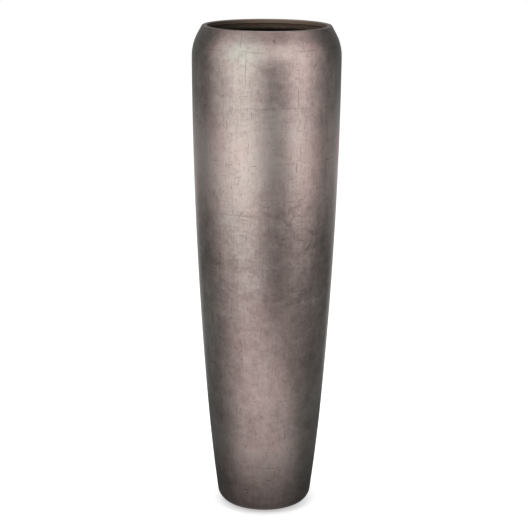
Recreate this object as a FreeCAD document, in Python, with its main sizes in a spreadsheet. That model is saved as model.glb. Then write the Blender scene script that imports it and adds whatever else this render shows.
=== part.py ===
import FreeCAD, Part
import math
import os
from collections import namedtuple

import Sketcher
from FreeCAD import Placement, Rotation, Vector

# A tall tapered floor planter: a thin moulded shell with a weighted foot, and a sheet-metal planting insert
# that hangs on brackets below the mouth and lifts out by two wire handles.
# Frame: origin on the floor under the middle of the foot, +Z up. Millimetres and degrees.

doc = FreeCAD.newDocument("floor_planter")

# Driving dimensions: name, value, what it measures
SIZES = [
    ("pot_height", 1200, "floor to the crest of the lip"),
    ("belly_radius", 179.5, "widest outside radius, at the shoulder"),
    ("shoulder_round", 113.8, "outside radius of the shoulder in section"),
    ("neck_lean", 28.7, "lean of the neck from upright"),
    ("neck_slant", 22, "straight stretch of the neck, up to the lip's corner"),
    ("lip_width", 12, "top of the lip, corner to mouth"),
    ("lip_round", 3, "rounding of both edges of the lip"),
    ("lip_land", 6, "upright inside face of the mouth below its rounding"),
    ("rim_flare", 65, "lean from upright of the thickened rim's underside"),
    ("wall", 7, "thickness of the shell"),
    ("belly_lean", 0.27, "lean of the wall just below the shoulder"),
    ("belly_taper", 39.2, "radius lost from the belly down to the knee"),
    ("knee_height", 250, "height where the wall starts to curve in faster"),
    ("foot_turn", 2.8, "further lean gained from the knee down to the foot"),
    ("foot_round", 33.8, "outside rounding of the foot"),
    ("foot_flange", 27.5, "flat ring under the foot, around its opening"),
    ("bond_gap", 0.3, "adhesive or render between bonded pieces"),
    ("pad_height", 3, "floor pads, thickness"),
    ("pad_radius", 10, "floor pads, radius"),
    ("pad_round", 0.8, "floor pads, rounding at the floor"),
    ("plate_thick", 9, "base plate, thickness"),
    ("plate_margin", 2, "base plate, in from the start of the foot's rounding"),
    ("ballast_depth", 61, "ballast above the base plate, at the wall"),
    ("ballast_fall", 5, "fall of the ballast's top to the drain"),
    ("drain_bore", 13, "drain tube, inside radius"),
    ("drain_wall", 3, "drain tube, wall"),
    ("plug_play", 0.1, "plug's ribs to the drain tube, on the radius"),
    ("plug_rib", 0.8, "plug's ribs, height"),
    ("plug_rib_pitch", 5, "plug's ribs, spacing"),
    ("plug_lap", 4, "plug's head past the drain tube, on the radius"),
    ("plug_head_thick", 5, "plug's head, thickness"),
    ("plug_nose", 4, "plug's tapered end, length"),
    ("plug_slot_width", 4, "prying slot in the plug's head, width"),
    ("plug_slot_length", 26, "prying slot in the plug's head, length"),
    ("plug_slot_depth", 2, "prying slot in the plug's head, depth"),
    ("insert_depth", 50, "crest of the lip down to the insert's seat"),
    ("mouth_clearance", 4, "insert's edge to the mouth, on the radius"),
    ("seat_width", 13, "insert's flange over the brackets"),
    ("tub_play", 4, "insert's wall to the brackets, on the radius"),
    ("bracket_width", 30, "insert brackets, width"),
    ("bracket_plate", 6, "insert brackets, thickness of shelf and back"),
    ("bracket_drop", 70, "insert brackets, height"),
    ("bracket_rib", 8, "insert brackets, thickness of the gusset"),
    ("bracket_nose", 6, "insert brackets, shelf in front of the gusset"),
    ("sheet", 1.2, "insert, sheet thickness"),
    ("tub_height", 290, "insert, seat down to its lower edge"),
    ("tub_taper", 4, "insert, lean of its wall from upright"),
    ("tub_bend", 3, "insert, inside radius of its bends"),
    ("bead", 3, "insert, radius of its wired edge"),
    ("pan_raise", 4, "insert, lower edge of the wall up to the pan"),
    ("pan_rim", 14, "insert, upturned rim of the pan"),
    ("handle_drop", 55, "handles, pivot to grip"),
    ("handle_half", 38, "handles, half width between the sides' middles"),
    ("handle_corner", 12, "handles, corner radius at the wire's middle"),
    ("handle_wire", 2.5, "handles, radius of the wire"),
    ("handle_gap", 1, "handles, hanging wire to the insert's wall"),
    ("pivot_drop", 30, "handles, insert's seat down to the pivot"),
    ("handle_play", 0.08, "handles, wire to the lug's eye, on the radius"),
    ("eye_wall", 3.5, "lugs, metal around the eye"),
    ("lug_width", 24, "lugs, width"),
    ("lug_half", 22, "lugs, pivot to the ends of the tabs"),
    ("tab", 3.5, "lugs, thickness of the tabs"),
    ("rivet_pitch", 14.5, "rivets, pivot to rivet"),
    ("rivet_radius", 2, "rivets, radius of the shank"),
    ("rivet_play", 0.1, "rivets, shank to hole, on the radius"),
    ("rivet_head", 4, "rivets, radius of the heads"),
    ("rivet_dome", 1.6, "rivets, height of the heads"),
]

# Places and sizes that follow from the driving dimensions: name, formula, what it is
LAYOUT = [
    ("shoulder_z", "sizes.pot_height - sizes.shoulder_round * sin(sizes.neck_lean)"
     " - sizes.neck_slant * cos(sizes.neck_lean)", "height of the widest place"),
    ("shoulder_r", "sizes.belly_radius - sizes.shoulder_round", "middle of the shoulder's arc"),
    ("lip_r", "shoulder_r + sizes.shoulder_round * cos(sizes.neck_lean)"
     " - sizes.neck_slant * sin(sizes.neck_lean)", "outside corner of the lip"),
    ("lip_setback", "sizes.lip_round * tan(45 - sizes.neck_lean / 2)", "lip's corner to its rounding"),
    ("mouth_r", "lip_r - sizes.lip_width", "radius of the mouth"),
    ("land_z", "sizes.pot_height - sizes.lip_round - sizes.lip_land", "lower end of the mouth's land"),
    ("rim_drop", "(sizes.lip_width - sizes.wall / cos(sizes.neck_lean)"
     " + (sizes.pot_height - land_z) * tan(sizes.neck_lean))"
     " / (tan(sizes.rim_flare) - tan(sizes.neck_lean))", "height of the thickened rim's underside"),
    ("knee_r", "sizes.belly_radius - sizes.belly_taper", "outside radius at the knee"),
    ("upper_rise", "shoulder_z - sizes.shoulder_round * sin(sizes.belly_lean) - sizes.knee_height",
     "knee up to the shoulder"),
    ("upper_chord_lean", "atan(sizes.belly_taper / upper_rise) / 1deg", "lean of the upper wall's chord"),
    ("upper_arc", "sqrt(upper_rise ^ 2 + sizes.belly_taper ^ 2)"
     " / (2 * sin(upper_chord_lean - sizes.belly_lean))", "radius of the upper wall in section"),
    ("knee_lean", "2 * upper_chord_lean - sizes.belly_lean", "lean of the wall at the knee"),
    ("foot_lean", "knee_lean + sizes.foot_turn", "lean of the wall at the foot's rounding"),
    ("foot_z", "sizes.pad_height + sizes.foot_round", "middle of the foot's rounding, height"),
    ("lower_arc", "(sizes.knee_height - foot_z + sizes.foot_round * sin(foot_lean))"
     " / (sin(foot_lean) - sin(knee_lean))", "radius of the lower wall in section"),
    ("lower_r", "knee_r - lower_arc * cos(knee_lean)", "middle of the lower wall's arc, from the axis"),
    ("lower_z", "sizes.knee_height + lower_arc * sin(knee_lean)", "middle of the lower wall's arc, height"),
    ("foot_r", "lower_r + (lower_arc - sizes.foot_round) * cos(foot_lean)", "edge of the foot's flat ring"),
    ("foot_open_r", "foot_r - sizes.foot_flange", "opening in the foot"),
    ("lining", "sizes.wall + sizes.bond_gap", "outside of the shell to what is bonded inside it"),
    ("pad_circle", "foot_r - sizes.foot_flange / 2", "floor pads, in the middle of the flat ring"),
    ("plate_z", "sizes.pad_height + sizes.wall", "underside of the base plate"),
    ("plate_r", "foot_r - sizes.plate_margin", "radius of the base plate"),
    ("ballast_z", "plate_z + sizes.plate_thick + sizes.ballast_depth", "top of the ballast at the wall"),
    ("ballast_r", "lower_r + sqrt((lower_arc - lining) ^ 2 - (ballast_z - lower_z) ^ 2)",
     "top of the ballast at the wall, radius"),
    ("drain_r", "sizes.drain_bore + sizes.drain_wall", "outside of the drain tube"),
    ("drain_top", "ballast_z - sizes.ballast_fall", "top of the drain tube"),
    ("drain_hole", "drain_r + sizes.bond_gap", "hole for the drain tube"),
    ("plug_head_r", "drain_r + sizes.plug_lap", "plug's head, radius"),
    ("plug_rib_r", "sizes.drain_bore - sizes.plug_play", "plug over its ribs"),
    ("plug_core_r", "plug_rib_r - sizes.plug_rib", "plug between its ribs"),
    ("seat_z", "sizes.pot_height - sizes.insert_depth", "top of the brackets"),
    ("flange_r", "mouth_r - sizes.mouth_clearance", "edge of the insert"),
    ("nose_r", "flange_r - sizes.seat_width", "inner end of the brackets"),
    ("bracket_back", "sizes.belly_radius - lining - sizes.bracket_plate", "front of the brackets' back"),
    ("tub_r", "nose_r - sizes.tub_play", "outside of the insert's wall below its flange"),
    ("bend_r", "tub_r + sizes.tub_bend * cos(sizes.tub_taper)", "middle of the flange's bend, radius"),
    ("bend_z", "seat_z - sizes.tub_bend", "middle of the flange's bend, height"),
    ("tub_z", "bend_z + sizes.tub_bend * sin(sizes.tub_taper)", "top of the insert's straight wall"),
    ("tub_floor", "seat_z - sizes.tub_height", "lower edge of the insert"),
    ("sheet_across", "sizes.sheet / cos(sizes.tub_taper)", "sheet of the insert's wall, measured level"),
    ("bead_r", "flange_r - sizes.bead", "middle of the wired edge"),
    ("bead_back", "sqrt(sizes.bead ^ 2 - (sizes.bead - sizes.sheet) ^ 2)",
     "middle of the wired edge to where the flange meets it"),
    ("pan_z", "tub_floor + sizes.pan_raise", "underside of the pan"),
    ("pivot_z", "seat_z - sizes.pivot_drop", "handle pivot, height"),
    ("grip_z", "pivot_z - sizes.handle_drop", "hanging grip, height"),
    ("grip_wall", "tub_r - (tub_z - grip_z + sizes.handle_wire) * tan(sizes.tub_taper) - sheet_across",
     "inside of the insert's wall just below the hanging grip"),
    ("pivot_r", "sqrt(grip_wall ^ 2 - (sizes.handle_half + sizes.handle_wire) ^ 2)"
     " - sizes.handle_wire - sizes.handle_gap", "handle pivot, from the axis"),
    ("eye_bore", "sizes.handle_wire + sizes.handle_play", "bore of the lug's eye"),
    ("eye_r", "eye_bore + sizes.eye_wall", "outside of the lug's eye"),
    ("rivet_hole", "sizes.rivet_radius + sizes.rivet_play", "holes for the rivets"),
]

# The sketcher's own numbers for its axes and for the points of an edge
ORIGIN, H_AXIS, V_AXIS = -1, -1, -2
START, END, CENTRE = 1, 2, 3

LEFT, RIGHT = 1, -1
FULL_TURN = 360
HALF_TURN = 180
SUPPORTS = 4
PLUG_RIB_COUNT = 3
SAME_HEIGHT = 1e-6

# A corner of an outline: its place as two formulas. Where the edge that leaves it is an arc, also the arc's
# radius, the side of the travel on which the arc's middle lies, and whether it is more than a half circle.
Corner = namedtuple("Corner", "x y radius side large", defaults=(None, LEFT, False))


def fill_sheet(name, rows):
    sheet = doc.addObject("Spreadsheet::Sheet", name)
    for row, (alias, content, note) in enumerate(rows, start=1):
        sheet.set(f"A{row}", alias)
        sheet.set(f"B{row}", content)
        sheet.set(f"C{row}", note)
        sheet.setAlias(f"B{row}", alias)
    doc.recompute()
    return sheet


sizes = fill_sheet("sizes", [(alias, str(value), note) for alias, value, note in SIZES])
layout = fill_sheet("layout", [(alias, f"={formula}", note) for alias, formula, note in LAYOUT])


def value_of(formula):
    return float(layout.evalExpression(formula))


# Sketches

def new_body(label, turn=0):
    body = doc.addObject("PartDesign::Body", label)
    body.Label = label
    body.Placement = Placement(Vector(), Rotation(Vector(0, 0, 1), turn))
    return body


def new_sketch(body, name, role, lift=None):
    sketch = body.newObject("Sketcher::SketchObject", name)
    plane = next(feature for feature in body.Origin.OriginFeatures if feature.Role == role)
    sketch.AttachmentSupport = [(plane, "")]
    sketch.MapMode = "FlatFace"
    if lift:
        sketch.setExpression("AttachmentOffset.Base.z", lift)
    return sketch


def bind(sketch, constraint, formula):
    index = sketch.addConstraint(constraint)
    sketch.setExpression(f"Constraints[{index}]", formula)


def pin(sketch, edge, end, x, y):
    for kind, axis, formula in (("DistanceX", V_AXIS, x), ("DistanceY", H_AXIS, y)):
        if formula == "0":
            sketch.addConstraint(Sketcher.Constraint("PointOnObject", edge, end, axis))
        else:
            here = Sketcher.Constraint(kind, ORIGIN, START, edge, end, value_of(formula))
            bind(sketch, here, formula)


def arc_between(start, end, corner):
    radius = value_of(corner.radius)
    chord = end - start
    left = Vector(-chord.y, chord.x, 0).normalize()
    reach = math.sqrt(max(radius ** 2 - (chord.Length / 2) ** 2, 0))
    if corner.large:
        reach = -reach
    middle = (start + end) / 2 + left * reach * corner.side
    first, last = (start, end) if corner.side == LEFT else (end, start)
    angles = [math.atan2(spot.y - middle.y, spot.x - middle.x) for spot in (first, last)]
    return Part.ArcOfCircle(Part.Circle(middle, Vector(0, 0, 1), radius), *angles)


def draw_outline(sketch, corners):
    spots = [Vector(value_of(corner.x), value_of(corner.y), 0) for corner in corners]
    ends = []
    for corner, start, end in zip(corners, spots, spots[1:] + spots[:1]):
        if corner.radius is None:
            edge = sketch.addGeometry(Part.LineSegment(start, end))
        else:
            edge = sketch.addGeometry(arc_between(start, end, corner))
        backwards = corner.radius is not None and corner.side == RIGHT
        ends.append((edge, END, START) if backwards else (edge, START, END))
    for (edge, _, last), (following, first, _) in zip(ends, ends[1:] + ends[:1]):
        sketch.addConstraint(Sketcher.Constraint("Coincident", edge, last, following, first))
    for corner, (edge, first, _) in zip(corners, ends):
        pin(sketch, edge, first, corner.x, corner.y)
        if corner.radius is not None:
            bind(sketch, Sketcher.Constraint("Radius", edge, value_of(corner.radius)), corner.radius)


def draw_circle(sketch, x, y, radius):
    middle = Vector(value_of(x), value_of(y), 0)
    edge = sketch.addGeometry(Part.Circle(middle, Vector(0, 0, 1), value_of(radius)))
    pin(sketch, edge, CENTRE, x, y)
    bind(sketch, Sketcher.Constraint("Radius", edge, value_of(radius)), radius)


# Features

def revolve(body, sketch, axis="V_Axis", kind="PartDesign::Revolution"):
    feature = body.newObject(kind, f"{sketch.Name}_turned")
    feature.Profile = sketch
    feature.ReferenceAxis = (sketch, [axis])
    feature.Angle = FULL_TURN
    sketch.Visibility = False
    return feature


def turned(body, corners):
    sketch = new_sketch(body, f"{body.Label}_section", "XZ_Plane")
    draw_outline(sketch, corners)
    return revolve(body, sketch)


def trimmed(body, corners):
    sketch = new_sketch(body, f"{body.Label}_trim", "XZ_Plane")
    draw_outline(sketch, corners)
    return revolve(body, sketch, kind="PartDesign::Groove")


def padded(body, sketch, length, midplane=False):
    feature = body.newObject("PartDesign::Pad", f"{sketch.Name}_pad")
    feature.Profile = sketch
    feature.setExpression("Length", length)
    feature.Midplane = midplane
    sketch.Visibility = False
    return feature


def drilled_across(body, holes, radius):
    sketch = new_sketch(body, f"{body.Label}_holes", "YZ_Plane")
    for y, z in holes:
        draw_circle(sketch, y, z, radius)
    feature = body.newObject("PartDesign::Pocket", f"{body.Label}_drilled")
    feature.Profile = sketch
    feature.Type = "ThroughAll"
    feature.Midplane = True
    sketch.Visibility = False
    return feature


def level_edges(feature, height):
    """Names of the feature's round edges that lie level at this height."""
    names = []
    for number, edge in enumerate(feature.Shape.Edges, start=1):
        box = edge.BoundBox
        level = max(abs(box.ZMin - height), abs(box.ZMax - height)) < SAME_HEIGHT
        if level and edge.Closed:
            names.append(f"Edge{number}")
    return names


# The shell's section, as stations at a distance inside its outside face

def neck_station(inside):
    round_left = f"(sizes.shoulder_round - {inside})"
    x = f"layout.shoulder_r + {round_left} * cos(sizes.neck_lean)"
    y = f"layout.shoulder_z + {round_left} * sin(sizes.neck_lean)"
    return x, y


def belly_station(inside):
    round_left = f"(sizes.shoulder_round - {inside})"
    x = f"layout.shoulder_r + {round_left} * cos(sizes.belly_lean)"
    y = f"layout.shoulder_z - {round_left} * sin(sizes.belly_lean)"
    return x, y


def knee_station(inside):
    x = f"layout.knee_r - {inside} * cos(layout.knee_lean)"
    y = f"sizes.knee_height + {inside} * sin(layout.knee_lean)"
    return x, y


def foot_station(inside):
    round_left = f"(sizes.foot_round - {inside})"
    x = f"layout.foot_r + {round_left} * cos(layout.foot_lean)"
    y = f"layout.foot_z - {round_left} * sin(layout.foot_lean)"
    return x, y


def shoulder_arc(inside):
    return f"sizes.shoulder_round - {inside}"


def upper_arc(inside):
    return f"layout.upper_arc - {inside}"


def lower_arc(inside):
    return f"layout.lower_arc - {inside}"


def foot_arc(inside):
    return f"sizes.foot_round - {inside}"


def make_vase_shell():
    """One unbroken section, foot to lip and back down inside, with every arc tangent to the next."""
    body = new_body("vase_shell")
    flush = "0"
    wall = "sizes.wall"
    lip_drop = "layout.lip_setback * cos(sizes.neck_lean)"
    lip_step = "layout.lip_setback * sin(sizes.neck_lean)"
    rim_step = "layout.rim_drop * tan(sizes.rim_flare)"
    outside = [
        Corner("layout.foot_open_r", "sizes.pad_height"),
        Corner("layout.foot_r", "sizes.pad_height", foot_arc(flush)),
        Corner(*foot_station(flush), lower_arc(flush)),
        Corner(*knee_station(flush), upper_arc(flush)),
        Corner(*belly_station(flush), shoulder_arc(flush)),
        Corner(*neck_station(flush)),
    ]
    lip = [
        Corner(f"layout.lip_r + {lip_step}", f"sizes.pot_height - {lip_drop}", "sizes.lip_round"),
        Corner("layout.lip_r - layout.lip_setback", "sizes.pot_height"),
        Corner("layout.mouth_r + sizes.lip_round", "sizes.pot_height", "sizes.lip_round"),
        Corner("layout.mouth_r", "sizes.pot_height - sizes.lip_round"),
        Corner("layout.mouth_r", "layout.land_z"),
        Corner(f"layout.mouth_r + {rim_step}", "layout.land_z - layout.rim_drop"),
    ]
    inside = [
        Corner(*neck_station(wall), shoulder_arc(wall), RIGHT),
        Corner(*belly_station(wall), upper_arc(wall), RIGHT),
        Corner(*knee_station(wall), lower_arc(wall), RIGHT),
        Corner(*foot_station(wall), foot_arc(wall), RIGHT),
        Corner("layout.foot_r", "layout.plate_z"),
        Corner("layout.foot_open_r", "layout.plate_z"),
    ]
    turned(body, outside + lip + inside)
    return body


# The weighted foot

def make_base_plate():
    body = new_body("base_plate")
    sketch = new_sketch(body, "base_plate_disc", "XY_Plane", "layout.plate_z")
    draw_circle(sketch, "0", "0", "layout.plate_r")
    draw_circle(sketch, "0", "0", "layout.drain_hole")
    padded(body, sketch, "sizes.plate_thick")
    return body


def make_drain_tube():
    body = new_body("drain_tube")
    sketch = new_sketch(body, "drain_tube_ring", "XY_Plane", "layout.plate_z")
    draw_circle(sketch, "0", "0", "layout.drain_r")
    draw_circle(sketch, "0", "0", "sizes.drain_bore")
    padded(body, sketch, "layout.drain_top - layout.plate_z")
    return body


def make_ballast():
    """Mortar cast round the base plate and against the wall, with its top falling to the drain."""
    body = new_body("ballast")
    lining = "layout.lining"
    plate_top = "layout.plate_z + sizes.plate_thick"
    skirt_r = "layout.plate_r + sizes.bond_gap"
    skirt_z = "layout.plate_z + sizes.bond_gap"
    turned(body, [
        Corner("layout.drain_hole", plate_top),
        Corner(skirt_r, plate_top),
        Corner(skirt_r, skirt_z),
        Corner("layout.foot_r", skirt_z, foot_arc(lining)),
        Corner(*foot_station(lining), lower_arc(lining)),
        Corner("layout.ballast_r", "layout.ballast_z"),
        Corner("layout.drain_hole", "layout.drain_top"),
    ])
    return body


def make_floor_pad(label, turn):
    body = new_body(label, turn)
    sketch = new_sketch(body, f"{label}_disc", "XY_Plane")
    draw_circle(sketch, "layout.pad_circle", "0", "sizes.pad_radius")
    disc = padded(body, sketch, "sizes.pad_height")
    doc.recompute()
    edge = body.newObject("PartDesign::Fillet", f"{label}_rounding")
    edge.Base = (disc, level_edges(disc, 0))
    edge.setExpression("Radius", "sizes.pad_round")
    return body


def make_drain_plug():
    """Ribbed rubber bung with a wide head and a slot to pry it out."""
    body = new_body("drain_plug")
    head_z = "layout.plate_z - sizes.plug_head_thick"
    section = [
        Corner("0", head_z),
        Corner("layout.plug_head_r", head_z),
        Corner("layout.plug_head_r", "layout.plate_z"),
        Corner("layout.plug_core_r", "layout.plate_z"),
    ]
    for rib in range(PLUG_RIB_COUNT):
        rib_z = f"layout.plate_z + sizes.plug_rib_pitch * {rib + 1}"
        section += [
            Corner("layout.plug_core_r", f"{rib_z} - sizes.plug_rib"),
            Corner("layout.plug_rib_r", rib_z),
            Corner("layout.plug_core_r", f"{rib_z} + sizes.plug_rib"),
        ]
    shank_z = f"layout.plate_z + sizes.plug_rib_pitch * {PLUG_RIB_COUNT + 1}"
    section += [
        Corner("layout.plug_core_r", shank_z),
        Corner("layout.plug_core_r - sizes.plug_nose / 2", f"{shank_z} + sizes.plug_nose"),
        Corner("0", f"{shank_z} + sizes.plug_nose"),
    ]
    turned(body, section)
    sketch = new_sketch(body, "drain_plug_slot", "XY_Plane", head_z)
    half_length = "sizes.plug_slot_length / 2"
    half_width = "sizes.plug_slot_width / 2"
    draw_outline(sketch, [
        Corner(f"-{half_length}", f"-{half_width}"),
        Corner(half_length, f"-{half_width}"),
        Corner(half_length, half_width),
        Corner(f"-{half_length}", half_width),
    ])
    slot = body.newObject("PartDesign::Pocket", "drain_plug_slotted")
    slot.Profile = sketch
    slot.setExpression("Length", "sizes.plug_slot_depth")
    slot.Reversed = True
    sketch.Visibility = False
    return body


# What carries the insert

def make_insert_bracket(label, turn):
    """Shelf and back plate with a gusset, whose back is trimmed to the inside of the shell."""
    body = new_body(label, turn)
    under = "layout.seat_z - sizes.bracket_plate"
    low = "layout.seat_z - sizes.bracket_drop"
    angle = new_sketch(body, f"{label}_angle", "XZ_Plane")
    draw_outline(angle, [
        Corner("layout.nose_r", "layout.seat_z"),
        Corner("layout.nose_r", under),
        Corner("layout.bracket_back", under),
        Corner("layout.bracket_back", low),
        Corner("sizes.belly_radius", low),
        Corner("sizes.belly_radius", "layout.seat_z"),
    ])
    padded(body, angle, "sizes.bracket_width", midplane=True)
    gusset = new_sketch(body, f"{label}_gusset", "XZ_Plane")
    draw_outline(gusset, [
        Corner("layout.nose_r + sizes.bracket_nose", under),
        Corner("layout.bracket_back", low),
        Corner("layout.bracket_back", under),
    ])
    padded(body, gusset, "sizes.bracket_rib", midplane=True)
    lining = "layout.lining"
    knee = knee_station(lining)
    neck = neck_station(lining)
    trimmed(body, [
        Corner(*knee, upper_arc(lining)),
        Corner(*belly_station(lining), shoulder_arc(lining)),
        Corner(*neck),
        Corner("sizes.belly_radius + sizes.wall", neck[1]),
        Corner("sizes.belly_radius + sizes.wall", knee[1]),
    ])
    return body


# The insert

def tub_outside(z):
    return f"layout.tub_r - (layout.tub_z - ({z})) * tan(sizes.tub_taper)"


def tub_inside(z):
    return f"{tub_outside(z)} - layout.sheet_across"


def rivet_heights():
    return "layout.pivot_z - sizes.rivet_pitch", "layout.pivot_z + sizes.rivet_pitch"


def make_insert_wall():
    """Tapered sheet wall with a bent flange, a wired edge and the holes for the lugs' rivets."""
    body = new_body("insert_wall")
    over = "layout.seat_z + sizes.sheet"
    outer_bend = "(sizes.tub_bend + sizes.sheet)"
    turned(body, [
        Corner(tub_outside("layout.tub_floor"), "layout.tub_floor"),
        Corner("layout.tub_r", "layout.tub_z", "sizes.tub_bend", RIGHT),
        Corner("layout.bend_r", "layout.seat_z"),
        Corner("layout.bead_r", "layout.seat_z", "sizes.bead", LEFT, True),
        Corner("layout.bead_r - layout.bead_back", over),
        Corner("layout.bend_r", over, outer_bend),
        Corner(f"layout.bend_r - {outer_bend} * cos(sizes.tub_taper)",
               f"layout.bend_z + {outer_bend} * sin(sizes.tub_taper)"),
        Corner(tub_inside("layout.tub_floor"), "layout.tub_floor"),
    ])
    drilled_across(body, [("0", z) for z in rivet_heights()], "layout.rivet_hole")
    return body


def make_insert_bottom():
    """Pressed pan whose rim follows the wall."""
    body = new_body("insert_bottom")
    over = "layout.pan_z + sizes.sheet"
    rim_z = "layout.pan_z + sizes.pan_rim"

    def rim(z):
        return f"{tub_inside(z)} - sizes.bond_gap"

    pan = turned(body, [
        Corner("0", "layout.pan_z"),
        Corner(rim("layout.pan_z"), "layout.pan_z"),
        Corner(rim(rim_z), rim_z),
        Corner(f"{rim(rim_z)} - layout.sheet_across", rim_z),
        Corner(f"{rim(over)} - layout.sheet_across", over),
        Corner("0", over),
    ])
    doc.recompute()
    inner = body.newObject("PartDesign::Fillet", "insert_bottom_inner_bend")
    inner.Base = (pan, level_edges(pan, value_of(over)))
    inner.setExpression("Radius", "sizes.tub_bend")
    doc.recompute()
    outer = body.newObject("PartDesign::Fillet", "insert_bottom_outer_bend")
    outer.Base = (inner, level_edges(inner, value_of("layout.pan_z")))
    outer.setExpression("Radius", "sizes.tub_bend + sizes.sheet")
    return body


def tab_fronts():
    """Front faces of the lug's lower and upper tab, from the axis."""
    lower = tub_inside("layout.pivot_z - sizes.lug_half")
    upper = tub_inside("layout.pivot_z + layout.eye_r")
    return [f"{wall} - sizes.bond_gap - sizes.tab" for wall in (lower, upper)]


def make_handle_lug(label, turn):
    """Lug with an eye between two tabs; its back is trimmed to the inside of the insert's wall."""
    body = new_body(label, turn)
    low = "layout.pivot_z - sizes.lug_half"
    high = "layout.pivot_z + sizes.lug_half"
    eye_low = "layout.pivot_z - layout.eye_r"
    eye_high = "layout.pivot_z + layout.eye_r"
    lower_front, upper_front = tab_fronts()
    section = new_sketch(body, f"{label}_section", "XZ_Plane")
    draw_outline(section, [
        Corner("layout.tub_r", low),
        Corner(lower_front, low),
        Corner(lower_front, eye_low),
        Corner("layout.pivot_r", eye_low, "layout.eye_r", RIGHT),
        Corner("layout.pivot_r - layout.eye_r", "layout.pivot_z", "layout.eye_r", RIGHT),
        Corner("layout.pivot_r", eye_high),
        Corner(upper_front, eye_high),
        Corner(upper_front, high),
        Corner("layout.tub_r", high),
    ])
    draw_circle(section, "layout.pivot_r", "layout.pivot_z", "layout.eye_bore")
    padded(body, section, "sizes.lug_width", midplane=True)
    below = f"{low} - sizes.tab"
    above = f"{high} + sizes.tab"
    trimmed(body, [
        Corner(f"{tub_inside(below)} - sizes.bond_gap", below),
        Corner("layout.nose_r", below),
        Corner("layout.nose_r", above),
        Corner(f"{tub_inside(above)} - sizes.bond_gap", above),
    ])
    drilled_across(body, [("0", z) for z in rivet_heights()], "layout.rivet_hole")
    return body


def make_lug_rivets():
    """Domed rivets through the lugs' tabs and the insert's wall."""
    rivets = []
    for side, turn in (("right", 0), ("left", HALF_TURN)):
        for place, z, front in zip(("low", "high"), rivet_heights(), tab_fronts()):
            body = new_body(f"rivet_{side}_{place}", turn)
            section = new_sketch(body, f"{body.Label}_section", "XZ_Plane")
            section.setExpression("AttachmentOffset.Base.y", z)
            tail = tub_outside(f"{z} + sizes.rivet_head")
            dome_arc = "(sizes.rivet_head ^ 2 + sizes.rivet_dome ^ 2) / (2 * sizes.rivet_dome)"
            draw_outline(section, [
                Corner(f"{front} - sizes.rivet_dome", "0", dome_arc, RIGHT),
                Corner(front, "sizes.rivet_head"),
                Corner(front, "sizes.rivet_radius"),
                Corner(tail, "sizes.rivet_radius"),
                Corner(tail, "sizes.rivet_head", dome_arc, RIGHT),
                Corner(f"{tail} + sizes.rivet_dome", "0"),
            ])
            revolve(body, section, "H_Axis")
            rivets.append(body)
    group = doc.addObject("Part::Compound", "lug_rivets")
    group.Label = "lug_rivets"
    group.Links = rivets
    return group


def make_handle(label, turn):
    """Closed wire loop, hanging from its pivot bar."""
    body = new_body(label, turn)
    flat = "sizes.handle_half - sizes.handle_corner"
    upper = "layout.pivot_z - sizes.handle_corner"
    lower = "layout.grip_z + sizes.handle_corner"
    corner = "sizes.handle_corner"
    path = new_sketch(body, f"{label}_path", "YZ_Plane", "layout.pivot_r")
    draw_outline(path, [
        Corner("0", "layout.pivot_z"),
        Corner(flat, "layout.pivot_z", corner, RIGHT),
        Corner("sizes.handle_half", upper),
        Corner("sizes.handle_half", lower, corner, RIGHT),
        Corner(flat, "layout.grip_z"),
        Corner(f"-({flat})", "layout.grip_z", corner, RIGHT),
        Corner("-sizes.handle_half", lower),
        Corner("-sizes.handle_half", upper, corner, RIGHT),
        Corner(f"-({flat})", "layout.pivot_z"),
    ])
    wire = new_sketch(body, f"{label}_wire", "XZ_Plane")
    draw_circle(wire, "layout.pivot_r", "layout.pivot_z", "sizes.handle_wire")
    doc.recompute()
    loop = body.newObject("PartDesign::AdditivePipe", f"{label}_loop")
    loop.Profile = wire
    loop.Spine = (path, [f"Edge{number + 1}" for number in range(len(path.Shape.Edges))])
    wire.Visibility = False
    path.Visibility = False
    return body


# The assembly

def around(make, name):
    step = FULL_TURN / SUPPORTS
    return [make(f"{name}_{number + 1}", step * (number + 0.5)) for number in range(SUPPORTS)]


nodes = [
    make_vase_shell(),
    make_base_plate(),
    make_drain_tube(),
    make_ballast(),
    *around(make_floor_pad, "floor_pad"),
    make_drain_plug(),
    *around(make_insert_bracket, "insert_bracket"),
    make_insert_wall(),
    make_insert_bottom(),
    make_handle_lug("handle_lug_right", 0),
    make_handle_lug("handle_lug_left", HALF_TURN),
    make_lug_rivets(),
    make_handle("handle_right", 0),
    make_handle("handle_left", HALF_TURN),
]
doc.recompute()

for item in doc.Objects:
    if "Invalid" in item.State or "Error" in item.State:
        raise RuntimeError(f"{item.Label}: {item.State}")
for node in nodes:
    if node.Shape.isNull() or not node.Shape.isValid():
        raise RuntimeError(f"{node.Label}: no valid shape")

os.makedirs("parts", exist_ok=True)
for node in nodes:
    node.Shape.exportStep(f"parts/{node.Label}.step")
    box = node.Shape.BoundBox
    print(f"{node.Label}: {len(node.Shape.Solids)} solid, {node.Shape.Volume / 1000:.2f} cm3,"
          f" z {box.ZMin:.2f} to {box.ZMax:.2f}")
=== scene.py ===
"""Looks of a tall leaf-lacquered floor planter with a lift-out insert, built around the packed model."""

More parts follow.
